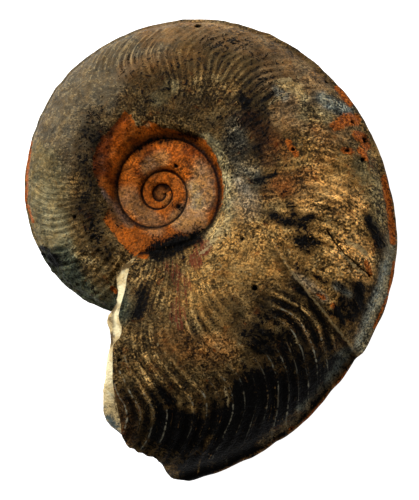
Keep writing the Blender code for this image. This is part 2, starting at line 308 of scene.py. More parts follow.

# How much black manganese covers the stone, with one row of painted shadow in a seam: share, half width,
# strength and places
SOOT_AT_START = 0.22
SOOT = (
    (0.06, 34, 0.95, (40, 190), (46, 125), (60, 95), (85, 70), (118, 50), (150, 38)),
    (0.10, 26, 0.9, (108, 82), (86, 108), (66, 145)),
    (0.22, 16, 0.9, *UPPER_RIM),
    (0.47, 16, 0.8, (130, 72), (170, 66), (215, 62)),
    (0.20, 15, 0.8, (44, 196), (52, 228), (64, 252)),
    (0.62, 14, 0.95, (94, 118), (87, 150), (86, 185), (92, 226), (104, 250)),
    (0.50, 24, 0.95, (145, 92), (190, 104), (222, 118), (250, 105), (262, 82)),
    (0.50, 15, 0.8, (215, 45), (243, 48), (240, 72)),
    (0.60, 10, 0.8, (256, 56), (268, 74), (270, 96)),
    (0.58, 6, 0.8, (202, 40), (224, 46), (248, 42)),
    (0.52, 14, 0.9, (238, 122), (238, 150), (236, 176)),
    (0.62, 13, 0.95, (252, 104), (262, 150)),
    (0.50, 8, 0.8, (240, 172), (262, 186), (284, 192)),
    (0.38, 9, 0.8, (266, 214), (284, 222), (310, 224)),
    (0.42, 10, 0.8, (302, 238), (312, 248)),
    (0.50, 6, 0.8, (370, 214), (378, 234), (384, 250)),
    (0.05, 16, 0.85, (320, 262), (345, 262), (364, 262)),
    (0.70, 3.5, 0.85, (290, 264), (312, 274), (346, 290)),
    (0.12, 5, 0.7, (300, 284), (318, 294), (330, 306)),
    (0.85, 5, 0.85, (342, 298), (350, 306), (354, 318)),
    (0.85, 4, 0.85, (336, 310), (342, 324)),
    (0.33, 16, 0.8, (275, 165), (280, 150)),
    (0.12, 14, 0.9, (236, 192), (228, 214), (222, 228), (212, 238)),
    (0.16, 26, 0.9, (232, 245), (208, 272), (250, 262)),
    (0.40, 24, 0.9, *CHAMBER_MIDDLE),
    (0.38, 18, 0.8, *CHAMBER_ACROSS),
    (0.38, 14, 0.9, (138, 292), (146, 312), (136, 328)),
    (0.24, 14, 0.8, *NEAR_BREAK),
    # Painted shadow in the gap between the inner whorls and the shoulder of the body chamber
    (0.80, 9, 0.95, (156, 252), (176, 244), (196, 234)),
    (0.48, 18, 0.8, (184, 384), (205, 384)),
    (1.14, 32, 1.0, (334, 388), (295, 400), (262, 392), (240, 420), (205, 446), (165, 425)),
    (0.84, 20, 0.95, (262, 342), (284, 348), (300, 372)),
    (0.70, 17, 0.9, (272, 312), (300, 322), (318, 345)),
    (0.30, 4, 0.7, (292, 304), (304, 316), (308, 334)),
    (0.35, 3, 0.6, (318, 322), (326, 342)),
    (0.45, 6, 0.8, (300, 428), (290, 436)),
    (0.50, 8, 0.7, (196, 452), (210, 440)),
    (0.52, 15, 0.95, (128, 392), (142, 412), (140, 432)),
    (0.90, 5, 0.8, (168, 398), (172, 430)),
    (0.60, 10, 0.9, (150, 460), (175, 458)),
    (0.95, 16, 1.0, (190, 480), (230, 466), (280, 440), (320, 405)),
    (0.55, 9, 0.8, (358, 288), (360, 310)),
    (0.14, 6, 0.9, (389, 262), (386, 273), (380, 299), (369, 322), (359, 348)),
    (0.42, 6, 0.9, *LOWER_BAND),
    (0.40, 3, 0.9, *LOWER_RIM),
    (0.45, 20, 0.9, (60, 266), (84, 290), (112, 305)),
    (0.22, 44, 1.0, (150, 180), (180, 200)),
    (0.50, 8, 0.8, (106, 208), (118, 226)),
)

# Colours of the crust in the umbilicus: colour, half width, strength and places
CRUST_STROKES = (
    ("rust", 15, 0.92, (118, 124), (106, 146), (102, 176), (112, 190)),
    ("flame", 6, 0.6, (124, 126), (116, 144), (114, 160)),
    ("mahogany", 4, 0.6, (100, 156), (104, 168)),
    ("mahogany", 3, 0.6, (134, 148), (140, 156)),
    ("mahogany", 4, 0.7, (112, 128), (108, 136)),
    ("mahogany", 3, 0.7, (98, 178), (106, 190)),
    ("mahogany", 4, 0.6, (170, 146), (178, 158)),
    ("flame", 4, 0.8, (136, 121), (150, 126)),
    ("flame", 4, 0.8, (150, 146), (160, 149)),
    ("cream", 3, 0.6, (142, 121), (148, 125)),
    ("mahogany", 4, 0.6, (178, 204), (184, 212)),
    ("flame", 6, 0.7, (186, 150), (196, 164)),
    ("flame", 6, 0.6, (168, 146), (176, 156)),
    ("orange", 6, 0.7, (104, 182), (116, 200)),
    ("rust", 6, 0.7, (132, 140), (150, 150), (140, 172)),
    ("amber", 10, 0.7, (150, 165), (160, 160)),
    ("rust", 7, 0.8, (188, 148), (200, 158), (212, 176), (214, 205)),
    ("amber", 13, 0.9, (200, 172), (204, 190), (196, 208), (180, 218)),
    ("cream", 8, 0.7, (192, 186), (196, 204)),
    ("amber", 12, 0.6, (128, 196), (142, 214), (154, 224)),
    ("cinnamon", 9, 0.7, (134, 204), (150, 218)),
    ("amber", 10, 0.8, (182, 224), (198, 222)),
    ("orange", 9, 0.8, (128, 236), (142, 246)),
    ("cinnamon", 7, 0.7, (160, 192), (168, 200)),
    ("lilac", 5, 0.7, (100, 192), (118, 212), (130, 224)),
    ("umber", 5, 0.7, (108, 206), (118, 222)),
)

# Where the outer shell has flaked off and shows the orange crust, and how soft its edge is
CRUST_EDGE_WIDTH = 16.0
CRUST_EDGE = ((125, 111), (132, 116), (135, 127), (142, 127), (150, 121), (163, 128), (175, 131),
              (186, 134), (203, 138), (213, 150), (222, 172), (224, 190), (221, 206), (212, 222),
              (196, 235), (176, 239), (160, 245), (153, 251), (147, 259), (136, 257), (127, 250),
              (117, 239), (104, 220), (109, 208), (98, 185), (93, 173), (92, 161), (95, 149),
              (101, 138), (111, 128))

# Strokes on the broken end, in full above the first height and gone below the second
BREAK_STROKE_HEIGHTS = (6.0, 1.0)
BREAK_STROKES = (
    ("calcite", 5, 1.0, (125, 274), (121, 300)),
    ("calcite", 5, 1.0, (118, 314), (118, 333)),
    ("calcite", 8, 1.0, (109, 356), (107, 380), (105, 398)),
    ("calcite", 6, 0.9, (148, 458), (160, 470)),
    ("slate", 9, 0.95, (106, 416), (112, 430), (118, 442)),
)

# Marks fade out from their middle: black stains with ragged edges, and two rows of painted shade in
# seams, by half width and places
MARK_STEEPNESS = 0.7
STAINS = (
    (9, (302, 241), (312, 244)),
    (4, (272, 216), (288, 222), (304, 222), (312, 216)),
    (4.5, (290, 206), (294, 214)),
    (3, (258, 180), (276, 174)),
    (4.5, (366, 218), (374, 234), (380, 244)),
    (3, (340, 262), (350, 256)),
    # Painted shadow in the gap between the inner whorls and the shoulder of the body chamber
    (10, (158, 250), (176, 244), (196, 235)),
    # Painted shade along the seam at the top of the umbilicus
    (3.2, (138, 148), (152, 141), (168, 139), (184, 134), (196, 138)),
    (4, (300, 290), (316, 302), (330, 314)),
    (4, (340, 306), (346, 318)),
    (5, (142, 292), (144, 302), (138, 314)),
    (3, (240, 98), (246, 104)),
    (4, (360, 286), (358, 306)),
    (5, (44, 250), (56, 262)),
    (3, (174, 206), (182, 208)),
)

# Orange spots outside the crust, half width and places
ORANGE_SPOTS = (
    (7, (336, 126), (346, 119), (356, 121)),
    (5.5, (356, 135), (363, 138), (366, 146)),
    (4, (344, 150), (350, 152)),
    (4, (360, 150), (366, 158)),
    (3, (318, 294), (324, 298)),
    (3, (332, 305), (336, 308)),
    (3, (366, 262), (370, 274)),
    (3.4, (337, 88), (350, 104)),
    (4.0, (384, 178), (388, 200), (392, 226), (393, 242)),
    (1.6, (394, 262), (388, 296), (374, 328)),
    (1.8, (350, 368), (328, 396), (302, 424)),
    (2.4, (290, 429), (292, 428)),
    (1.8, (31, 142), (27, 175), (26, 206)),
    (1.6, (28, 206), (33, 222)),
    (1.8, (214, 350), (216, 351)),
    (2.6, (112, 288), (116, 292)),
    (4, (288, 142), (296, 154)),
)

# Pale grains and scars, half width and places
PALE_SPOTS = (
    (2.6, (274, 82), (290, 79)),
    (2.2, (270, 104), (284, 94)),
    (1.3, (224, 34), (224.5, 34)),
    (1.2, (213, 313), (215, 311)),
    (1.2, (156, 344), (158, 344)),
    (1.4, (238, 343), (242, 345)),
    (3.0, (347, 242), (360, 248), (366, 254)),
    (2.0, (340, 252), (352, 264), (364, 274)),
    (2.2, (294, 336), (298, 344)),
    (2.0, (225, 388), (228, 400), (228, 412)),
    (2.6, (226, 418), (224, 436)),
    (2.4, (222, 228), (214, 240), (200, 254)),
    (2.8, (152, 258), (160, 258)),
)

# How strongly growth lines, red streaks, painted highlights on the rib crests and the mottling show
LINES_AT_START = 0.22
CONTRAST_AT_START = 1.65
LINE_AREAS = (
    (0.9, 26, 1.0, (150, 350), (150, 400), (185, 400)),
    (0.75, 30, 1.0, (160, 280), (180, 290), (200, 310)),
    (0.7, 26, 0.9, (50, 190), (56, 240)),
    (0.05, 30, 0.9, (52, 150), (66, 105), (90, 90)),
    (0.9, 16, 0.9, (105, 60), (140, 50)),
    (0.6, 24, 0.9, (160, 62), (210, 66), (256, 84)),
    (0.9, 18, 0.8, (222, 62), (256, 80)),
    (0.6, 30, 0.9, (200, 420), (280, 390)),
    (0.5, 30, 0.9, (300, 140), (340, 180), (330, 240)),
    (1.5, 17, 0.9, (286, 306), (304, 316), (324, 332)),
    (1.5, 12, 0.9, (104, 62), (125, 52), (148, 46)),
)
RED_AREAS = (
    (1.0, 12, 1.0, (204, 246), (196, 262)),
    (0.85, 12, 1.0, (172, 268), (182, 290), (176, 325)),
    (0.6, 8, 1.0, (312, 292), (320, 298)),
)
# Where the painted highlights on the rib crests show: level, half width, strength and places
CREST_AREAS = (
    (1.0, 26, 1.0, (126, 370), (140, 410), (160, 430)),
    (0.85, 34, 1.0, (200, 420), (260, 400), (300, 370)),
    (1.0, 16, 1.0, (280, 312), (305, 330), (318, 348)),
    (0.2, 7, 0.9, (222, 466), (262, 446), (310, 408), (338, 376)),
)
CONTRAST_AREAS = (
    (0.65, 36, 0.95, (46, 135), (60, 95), (85, 70), (118, 50), (150, 38)),
    (0.95, 30, 0.9, (44, 190), (56, 230)),
    (0.8, 26, 0.9, (150, 45), (200, 45), (250, 55)),
    (1.2, 20, 0.8, (285, 62), (318, 88)),
    (3.0, 13, 0.9, (238, 128), (238, 150), (240, 172)),
    (2.1, 18, 0.9, (325, 245), (345, 262), (364, 270)),
    (1.45, 30, 0.9, (232, 240), (220, 268), (250, 262)),
    (1.1, 16, 0.8, (215, 62), (256, 84)),
    (2.3, 15, 0.9, (286, 306), (304, 318), (322, 332)),
)

# Round pits: place, half width in pixels and depth in millimetres
PITS = (
    ((353, 122), 2.6, 0.8), ((365, 139), 3.4, 1.0), ((348, 149), 2.4, 0.7), ((363, 160), 2.8, 0.8),
    ((292, 150), 2.4, 0.7), ((254, 288.5), 3.2, 1.5), ((224, 234), 1.6, 0.7), ((240, 238), 2.2, 0.7),
    ((74, 217), 2.2, 0.6), ((176, 166), 2.4, 0.6), ((327.5, 81), 2.4, 0.6), ((197.5, 26), 3.6, 0.8),
    ((114, 345), 1.8, 0.7), ((119.5, 358), 2.2, 0.8), ((122, 352), 1.5, 0.5), ((178, 206), 3.0, 0.4),
)
PIT_UNEVENNESS = 0.25
PIT_RIM_HEIGHT_SHARE = 0.12
PIT_RIM_PLACE = 1.35
PIT_RIM_WIDTH = 0.25
# Pits and the crack are painted black as shade, in full at this depth in millimetres
BLACKENED_PIT_DEPTH = 0.4

# An open crack across the outer flank
CRACK = ((327, 230), (335, 242), (344, 253), (355, 262), (371, 276))
CRACK_HALF_WIDTH = 0.9
CRACK_DEPTH = 0.6

# The mesh is refined around pits, by their half width, and the crack, in pixels
REFINE_ROUNDS = 2
REFINE_PIT_REACH = 1.7
REFINE_CRACK_REACH = 3.0

# Areas with a rough surface: height in millimetres, half width in pixels and places
ROUGH_AREAS = (
    (0.90, 26, (60, 262), (92, 276), (118, 290)),
    (0.60, 12, (88, 220), (104, 240), (122, 262)),
    (0.50, 30, (310, 130), (350, 140), (350, 200), (330, 250)),
    (0.40, 26, (250, 300), (290, 262)),
    (0.35, 24, (120, 140), (112, 180)),
    (0.50, 16, (165, 250), (190, 240)),
    (0.30, 20, (160, 90), (220, 100), (262, 120)),
)


def curve(points, position):
    """Smooth curve through a list of points, without overshoot."""
    known, value = np.array(points, float).T
    step = np.diff(known)
    rise = np.diff(value) / step
    slope = np.zeros(len(known))
    same_way = rise[:-1] * rise[1:] > 0.0
    total = np.where(same_way, rise[:-1] + rise[1:], 1.0)
    slope[1:-1] = np.where(same_way, 2.0 * rise[:-1] * rise[1:] / total, 0.0)
    slope[0] = rise[0]
    slope[-1] = rise[-1]
    index = np.clip(np.searchsorted(known, position) - 1, 0, len(step) - 1)
    along = np.clip((position - known[index]) / step[index], 0.0, 1.0)
    square = along * along
    cube = square * along
    start = (2 * cube - 3 * square + 1) * value[index]
    end = (3 * square - 2 * cube) * value[index + 1]
    turn_in = (cube - 2 * square + along) * slope[index]
    turn_out = (cube - square) * slope[index + 1]
    return start + end + (turn_in + turn_out) * step[index]


def smooth(low, high, value):
    """Zero below low, one above high, with a soft change between."""
    along = np.clip((value - low) / (high - low), 0.0, 1.0)
    return along * along * (3.0 - 2.0 * along)


def lattice_value(where, seed):
    """A number from minus one to one for each whole lattice place, from a hash."""
    key = np.bitwise_xor.reduce(where * HASH_FACTORS, axis=-1)
    key = (key * HASH_SPREAD + seed * HASH_SEED_STEP) & LOW_32_BITS
    key = (key ^ key >> 15) * HASH_MIX & LOW_32_BITS
    return (key ^ key >> 13 & 0xFFFF) % 65536 / 32767.5 - 1.0


def lattice_noise(points, size, seed):
    """Smooth noise from minus one to one, with features of about one size."""
    place = np.asarray(points) / size + seed * SEED_SHIFT
    cell = np.floor(place).astype(np.int64)
    part = place - cell
    part = part * part * (3.0 - 2.0 * part)
    total = np.zeros(place.shape[:-1])
    for corner in range(8):
        offset = np.array([corner & 1, corner >> 1 & 1, corner >> 2 & 1])
        weight = np.prod(np.where(offset == 1, part, 1.0 - part), axis=-1)
        total += lattice_value(cell + offset, seed) * weight
    return total


def rough_noise(points, size, seed, layers):
    """Noise with finer and weaker layers on top of the first."""
    total = 0.0
    for layer in range(layers):
        noise = lattice_noise(points, size / 2.0 ** layer, seed + layer)
        total = total + noise * NOISE_LAYER_STRENGTH ** layer
    return total


def spiral_radius(growth):
    return KEEL_RADIUS_AT_BREAK * GROWTH_PER_TURN ** ((growth - REFERENCE_GROWTH) / 360.0)


def keel_radius(growth):
    """The keel's radius, with the small unevenness of a worn edge."""
    along = np.stack([growth, 0.0 * growth, 0.0 * growth], axis=-1)
    wear = KEEL_WEAR_SHARE * rough_noise(along, *KEEL_WEAR_NOISE)
    return spiral_radius(growth) * (1.0 + curve(KEEL_SHIFT, growth) + wear)


def seam_radius(growth):
    return spiral_radius(growth) * SEAM_SHARE * (1.0 + curve(SEAM_SHIFT, growth))


def seam_height(growth):
    inner_keel = keel_radius(growth - 360.0)
    return curve(SECTION, seam_radius(growth) / inner_keel) * inner_keel


def resting_turn():
    """The small turn that lays the shell on its lower flank."""
    lean = Matrix.Rotation(math.radians(REST_TILT_Y), 3, "Y")
    tilt = Matrix.Rotation(math.radians(REST_TILT_X), 3, "X")
    return np.array(lean @ tilt)


def to_frame(points):
    """From the shell's own millimetres to metres in the object's frame."""
    return (points @ resting_turn().T + np.array(POLE)) * MM


def from_frame(places):
    """From metres in the object's frame to the shell's own millimetres."""
    return (places / MM - np.array(POLE)) @ resting_turn()


def camera_axes():
    """The camera's right, up and back directions."""
    tilt = math.radians(CAMERA_TILT)
    side = math.radians(CAMERA_SIDE)
    back = Vector((math.sin(tilt) * math.cos(side), math.sin(tilt) * math.sin(side), math.cos(tilt)))
    right = Vector((0.0, 1.0, 0.0)).cross(back).normalized()
    up = back.cross(right)
    return Matrix((right, up, back)).transposed() @ Matrix.Rotation(math.radians(CAMERA_ROLL), 3, "Z")


def camera_place():
    back = camera_axes().col[2]
    return Vector(CAMERA_AIM) + back * CAMERA_DISTANCE


def photo_place(points):
    """The photograph's pixel at which each point of the shell lies."""
    seen = (to_frame(points) / MM - np.array(camera_place())) @ np.array(camera_axes())
    scale = CAMERA_LENS / CAMERA_SENSOR * PHOTO_HEIGHT / -seen[..., 2]
    across = PHOTO_WIDTH / 2.0 + seen[..., 0] * scale
    down = PHOTO_HEIGHT / 2.0 - seen[..., 1] * scale
    return np.stack([across, down], axis=-1)


def mirrored_up(points):
    """Points of the lower side moved to the same place on the upper side."""
    return points * np.array([1.0, 1.0, 0.0]) + np.abs(points) * np.array([0.0, 0.0, 1.0])


def line_distance(pixel, places):
    """Distance in pixels from the line through a few places."""
    places = np.array(places, float)
    if len(places) == 1:
        return np.linalg.norm(pixel - places[0], axis=-1)
    best = np.full(pixel.shape[:-1], np.inf)
    for start, end in zip(places[:-1], places[1:]):
        along = end - start
        part = np.clip((pixel - start) @ along / (along @ along), 0.0, 1.0)
        best = np.minimum(best, np.linalg.norm(pixel - start - part[..., None] * along, axis=-1))
    return best


def depth_inside(pixel, edge):
    """Distance in pixels from a closed edge, positive inside it."""
    closed = list(edge) + [edge[0]]
    distance = line_distance(pixel, closed)
    inside = np.zeros(pixel.shape[:-1], bool)
    for (x1, y1), (x2, y2) in zip(closed[:-1], closed[1:]):
        if y1 == y2:
            continue
        crosses = (pixel[..., 1] > min(y1, y2)) & (pixel[..., 1] <= max(y1, y2))
        where = x1 + (pixel[..., 1] - y1) * (x2 - x1) / (y2 - y1)
        inside ^= crosses & (pixel[..., 0] < where)
    return np.where(inside, distance, -distance)


class Side:
    """One side of the shell as a grid of columns and rows, in millimetres."""

    def __init__(self, upper, wall_rows, flank_rows, outer_rows):
        self.upper = upper
        self.inner_rows = wall_rows + flank_rows
        self.rows = self.inner_rows + outer_rows
        step = 360.0 / COLUMNS_PER_TURN
        self.last = int(round((BREAK_GROWTH - INNERMOST_GROWTH) / step))
        self.first_full = self.last - COLUMNS_PER_TURN
        column_growth = INNERMOST_GROWTH + step * np.arange(self.last + 1)
        self.growth = np.repeat(column_growth[:, None], self.rows + 1, axis=1)
        self.share = self.shares(self.growth, wall_rows, flank_rows, outer_rows)
        self.growth = self.growth + self.swing(column_growth)
        self.share = self.shares(self.growth, wall_rows, flank_rows, outer_rows)
        self.points = self.base_points()
        self.rib = self.rib_number()
        self.relief = self.total_relief()
        self.points = self.points + self.normals() * self.relief[..., None]

    def shares(self, growth, wall_rows, flank_rows, outer_rows):
        """Radius share of each grid point, close together at the seam and the keel."""
        keel = keel_radius(growth)
        seam = seam_radius(growth) / keel
        next_seam = seam_radius(growth + 360.0) / keel
        shoulder = seam + WALL_WIDTH_SHARE
        row = np.arange(self.rows + 1)[None, :]
        wall = np.clip(row / wall_rows, 0.0, 1.0)
        flank = np.clip((row - wall_rows) / flank_rows, 0.0, 1.0)
        outer = np.clip((row - wall_rows - flank_rows) / outer_rows, 0.0, 1.0)
        outer = 1.0 - (1.0 - outer) ** KEEL_ROW_CROWDING
        share = seam + (shoulder - seam) * wall + (next_seam - shoulder) * flank
        return share + (1.0 - next_seam) * outer

    def swing(self, column_growth):
        """Degrees by which a point leads its column, only near the broken end."""
        near_break = 1.0 - (BREAK_GROWTH - column_growth) / BREAK_BLEND_DEGREES
        ease = smooth(0.0, 1.0, near_break)[:, None]
        return curve(BREAK_SWING, self.share) * ease

    def base_points(self):
        """The smooth surface, with the wall curving up from the seam."""
        keel = keel_radius(self.growth)
        seam = seam_radius(self.growth) / keel
        height = curve(SECTION, self.share) * keel
        shoulder_height = curve(SECTION, seam + WALL_WIDTH_SHARE) * keel
        climb = np.clip((self.share - seam) / WALL_WIDTH_SHARE, 0.0, 1.0)
        foot = seam_height(self.growth)
        wall = foot + (shoulder_height - foot) * (1.0 - (1.0 - climb) ** WALL_ROUNDNESS)
        height = np.where(climb < 1.0, wall, height)
        direction = np.radians(START_DIRECTION - self.growth)
        radius = self.share * keel
        side = 1.0 if self.upper else -1.0
        return np.stack([radius * np.cos(direction), radius * np.sin(direction), side * height], axis=-1)

    def normals(self):
        """Outward direction at each grid point."""
        along = np.gradient(self.points, axis=0)
        across = np.gradient(self.points, axis=1)
        normal = np.cross(across, along)
        length = np.linalg.norm(normal, axis=-1, keepdims=True)
        normal = normal / np.maximum(length, 1e-9)
        side = 1.0 if self.upper else -1.0
        return normal * np.sign(np.sum(normal[..., 2:] * side, axis=-1, keepdims=True) + 1e-9)

    def on_last_whorl(self):
        return (np.arange(self.last + 1) >= self.first_full)[:, None]

    def rib_number(self):
        """Ribs that have passed at each point, counted along the bent rib lines."""
        wander = rough_noise(self.points, *RIB_WANDER_NOISE) * RIB_WANDER_DEGREES
        plain = curve(PLAIN_RIB_SWING, self.share)
        swing = plain + (curve(RIB_SWING, self.share) - plain) * curve(RIB_BEND, self.growth)
        return curve(RIB_COUNT, self.growth - swing + wander)

    def halt_distance(self):
        """Millimetres past the line where growth halted."""
        past = self.growth - curve(HALT_LINE, self.share)
        past = np.where(self.on_last_whorl(), past, -90.0)
        return np.radians(past) * self.share * keel_radius(self.growth)

    def rib_relief(self):
        """Height of the ribs, in millimetres."""
        shape = (0.5 + 0.5 * np.cos(2.0 * math.pi * self.rib)) ** RIB_SHARPNESS - RIB_FOOT
        strength = curve(RIB_ACROSS, self.share) * curve(RIB_ALONG, self.growth)
        uneven = 1.0 + RIB_UNEVENNESS * rough_noise(self.points, *RIB_HEIGHT_NOISE)
        return RIB_HEIGHT_SHARE * spiral_radius(self.growth) * strength * shape * uneven

    def halt_relief(self):
        """The low step where growth halted, with a lip before it."""
        past = self.halt_distance()
        fade_length = np.radians(HALT_FADE_DEGREES) * self.share * keel_radius(self.growth)
        drop = HALT_DROP * smooth(0.0, HALT_DROP_WIDTH, past)
        drop = drop * np.exp(-np.maximum(past, 0.0) / fade_length)
        lip = HALT_LIP * np.exp(-((past - HALT_LIP_PLACE) / HALT_LIP_WIDTH) ** 2)
        fade = smooth(0.36, 0.5, self.share) * smooth(1.0, 0.985, self.share)
        return (lip - drop) * fade

    def groove(self):
        """One in the seams, on both whorls that meet there, and zero away from them; it sets the
        groove's depth and the painted shade in the seams.
        """
        keel = keel_radius(self.growth)
        radius = self.share * keel
        width = GROOVE_WIDTH_SHARE * keel + GROOVE_LEAST_WIDTH
        groove = np.exp(-((radius - seam_radius(self.growth)) / width) ** 2)
        next_groove = np.exp(-((radius - seam_radius(self.growth + 360.0)) / width) ** 2)
        return np.maximum(groove, np.where(self.on_last_whorl(), 0.0, next_groove))

    def local_relief(self):
        """The flaked area and the rough areas; the lower side has its own noise."""
        pixel = photo_place(mirrored_up(self.points))
        noise = rough_noise(self.points, *FLAKE_NOISE)
        inside = depth_inside(pixel, CRUST_EDGE) + noise * FLAKE_EDGE_UNEVENNESS
        flake = -FLAKE_DEPTH * smooth(-1.0, 1.5, inside) * self.on_last_whorl()
        total = flake * smooth(0.26, 0.30, self.share)
        for height, reach, *places in ROUGH_AREAS:
            near = smooth(*ROUGH_FADE, line_distance(pixel, places) / reach)
            total = total + height * near * noise * 0.6
        return total

    def total_relief(self):
        """How far the surface stands out from the smooth shell, in millimetres."""
        size = keel_radius(self.growth) / LUMP_KEEL_RADIUS
        lumps = rough_noise(self.points / size[..., None], *LUMP_NOISE) * LUMP_HEIGHT * size
        lumps = lumps + rough_noise(self.points, *GRIT_NOISE) * GRIT_HEIGHT
        groove = GROOVE_DEPTH_SHARE * keel_radius(self.growth) * self.groove()
        relief = self.rib_relief() + self.halt_relief() + self.local_relief() - groove
        relief = relief + lumps * smooth(1.0, 0.99, self.share)
        row = np.arange(self.rows + 1)[None, :]
        return np.where(row == self.rows, 0.0, relief)


def quads(ids):
    """Faces between neighbouring grid points."""
    corners = [ids[:-1, :-1], ids[:-1, 1:], ids[1:, 1:], ids[1:, :-1]]
    return np.stack(corners, axis=-1).reshape(-1, 4)


class Surface:
    """The closed surface of the fossil: points, and faces with a source for their values."""

    def __init__(self, sides):
        self.sides = sides
        self.points = np.concatenate([side.points.reshape(-1, 3) for side in sides])
        self.faces = []
        self.sources = []
        self.broken = []
        self.number_points()
        self.add_sides()
        self.add_middles()
        self.add_break()

    def number_points(self):
        """Points on the seams and the keel belong to both grids that meet there."""
        upper, lower = self.sides
        self.own = []
        self.shared = []
        count = 0
        for side in self.sides:
            own = np.arange(side.growth.size).reshape(side.growth.shape) + count
            count += side.growth.size
            shared = own.copy()
            shared[COLUMNS_PER_TURN:, 0] = own[:-COLUMNS_PER_TURN, side.inner_rows]
            self.own.append(own)
            self.shared.append(shared)
        self.shared[1][:, lower.rows] = self.own[0][:, upper.rows]

    def add_faces(self, faces, sources, broken=False):
        self.faces += [tuple(face) for face in faces]
        self.sources += [tuple(face) for face in sources]
        self.broken += [broken] * len(faces)

    def add_sides(self):
        for side, own, shared in zip(self.sides, self.own, self.shared):
            inner = (slice(None, side.first_full + 1), slice(None, side.inner_rows + 1))
            full = (slice(side.first_full, None), slice(None))
            for part in (inner, full):
                faces = quads(shared[part])
                sources = quads(own[part])
                if not side.upper:
                    faces = faces[:, ::-1]
                    sources = sources[:, ::-1]
                self.add_faces(faces.tolist(), sources.tolist())

    def add_middles(self):
        """Close the middle of each side with faces around one point."""
        for side, own, shared in zip(self.sides, self.own, self.shared):
            height = self.points[own[0, side.inner_rows], 2]
            middle = len(self.points)
            self.points = np.concatenate([self.points, [[0.0, 0.0, MIDDLE_RISE * height]]])
            rim = list(shared[: COLUMNS_PER_TURN + 1, 0])
            rim += [shared[0, row] for row in range(side.inner_rows - 1, 0, -1)]
            fan = [(middle, second, first) for first, second in zip(rim, rim[1:] + rim[:1])]
            if not side.upper:
                fan = [face[::-1] for face in fan]
            self.add_faces(fan, fan)

    def section(self, column, first_rows):
        """Points of one section, over the keel from the upper to the lower side."""
        over = list(self.shared[0][column, first_rows[0]:])
        under = list(self.shared[1][column, first_rows[1]:self.sides[1].rows][::-1])
        return over + under

    def add_break(self):
        """Rings of points over the broken end, rough like a fracture."""
        upper, lower = self.sides
        outer_ids = self.section(upper.last, (0, 0))
        inner_ids = self.section(upper.first_full, (upper.inner_rows, lower.inner_rows))
        outer = self.points[outer_ids]
        inner = self.points[inner_ids]
        along = np.linspace(0.0, 1.0, len(outer_ids))
        place = along * (len(inner_ids) - 1)
        low = np.minimum(place.astype(int), len(inner_ids) - 2)
        inside = inner[low] + (inner[low + 1] - inner[low]) * (place - low)[:, None]
        keel = np.linalg.norm(outer[:, :2], axis=1).max()
        previous = outer_ids
        for depth in BREAK_RINGS:
            ring = outer + (inside - outer) * depth
            bulge = curve(BREAK_BULGE, np.linalg.norm(ring[:, :2], axis=1) / keel)
            forward = np.stack([ring[:, 1], -ring[:, 0], 0.0 * ring[:, 0]], axis=-1)
            forward /= np.linalg.norm(forward, axis=1, keepdims=True)
            out = bulge * smooth(0.0, 0.09, depth) * (1.0 - smooth(0.3, 1.0, depth))
            out = out + BREAK_MIDDLE_BULGE * math.sin(math.pi * depth) * smooth(0.0, 0.3, depth)
            rough = rough_noise(ring, *BREAK_NOISE) * BREAK_ROUGHNESS * smooth(0.0, 0.1, depth)
            ends = np.minimum(1.0, BREAK_END_SLOPE * np.minimum(along, 1.0 - along))
            ring = ring + forward * ((out + rough) * ends)[:, None]
            start = len(self.points)
            self.points = np.concatenate([self.points, ring[1:-1]])
            ids = [outer_ids[0]] + list(range(start, start + len(ring) - 2)) + [outer_ids[-1]]
            band = []
            for face in zip(previous, previous[1:], ids[1:], ids):
                unique = list(dict.fromkeys(face))
                if len(unique) > 2:
                    band.append(unique)
            self.add_faces(band, band, broken=True)
            previous = ids
        strip = zip_rings(previous, inner_ids)
        self.add_faces(strip, strip, broken=True)

    def shell_values(self):
        """Rib number, radius, distance past the halt and seam groove of every face corner; the groove
        carries the painted shade in the seams.
        """
        rib = [side.rib.reshape(-1) for side in self.sides]
        halt = [side.halt_distance().reshape(-1) for side in self.sides]
        groove = [side.groove().reshape(-1) for side in self.sides]
        extra = np.zeros(len(self.points) - sum(len(part) for part in rib))
        radius = np.linalg.norm(self.points[:, :2], axis=1)
        values = [np.concatenate(rib + [extra]), radius, np.concatenate(halt + [extra - 90.0]),
                  np.concatenate(groove + [extra])]
        source = np.concatenate([np.array(face) for face in self.sources])
        return np.column_stack(values)[source]


def zip_rings(first, second):
    """Triangles between two lines of points that differ in their number."""
    faces = []
    i = 0
    j = 0
    while i < len(first) - 1 or j < len(second) - 1:
        if (i + 1) / (len(first) - 1) <= (j + 1) / (len(second) - 1):
            faces.append((first[i], first[i + 1], second[j]))
            i += 1
        else:
            faces.append((first[i], second[j + 1], second[j]))
            j += 1
    return [face for face in faces if len(set(face)) == 3]


def add_corner_values(mesh, name, values):
    """Store four numbers for each face corner."""
    layer = mesh.attributes.new(name, "FLOAT_COLOR", "CORNER")
    layer.data.foreach_set("color", values.astype(np.float32).reshape(-1))


def build_fossil():
    """Build the fine fossil as one closed piece."""
    sides = (Side(True, WALL_ROWS, FLANK_ROWS, OUTER_ROWS),
             Side(False, LOWER_WALL_ROWS, LOWER_FLANK_ROWS, LOWER_OUTER_ROWS))
    surface = Surface(sides)
    mesh = bpy.data.meshes.new("fossil")
    mesh.from_pydata(to_frame(surface.points).tolist(), [], surface.faces)
    add_corner_values(mesh, "shell", surface.shell_values())
    broken = mesh.attributes.new("broken", "FLOAT", "FACE")
    broken.data.foreach_set("value", np.array(surface.broken, np.float32))
    fossil = bpy.data.objects.new("fossil", mesh)
    bpy.context.scene.collection.objects.link(fossil)
    return fossil


def vertex_places(vertices):
    return np.array([vertex.co for vertex in vertices])


def pit_centres(points):
    """The points of the upper side that lie in the middle of each pit."""
    upper = points[points[:, 2] > 0.0]
    pixel = photo_place(upper)
    return [upper[np.argmin(line_distance(pixel, (place,)))] for place, reach, bottom in PITS]


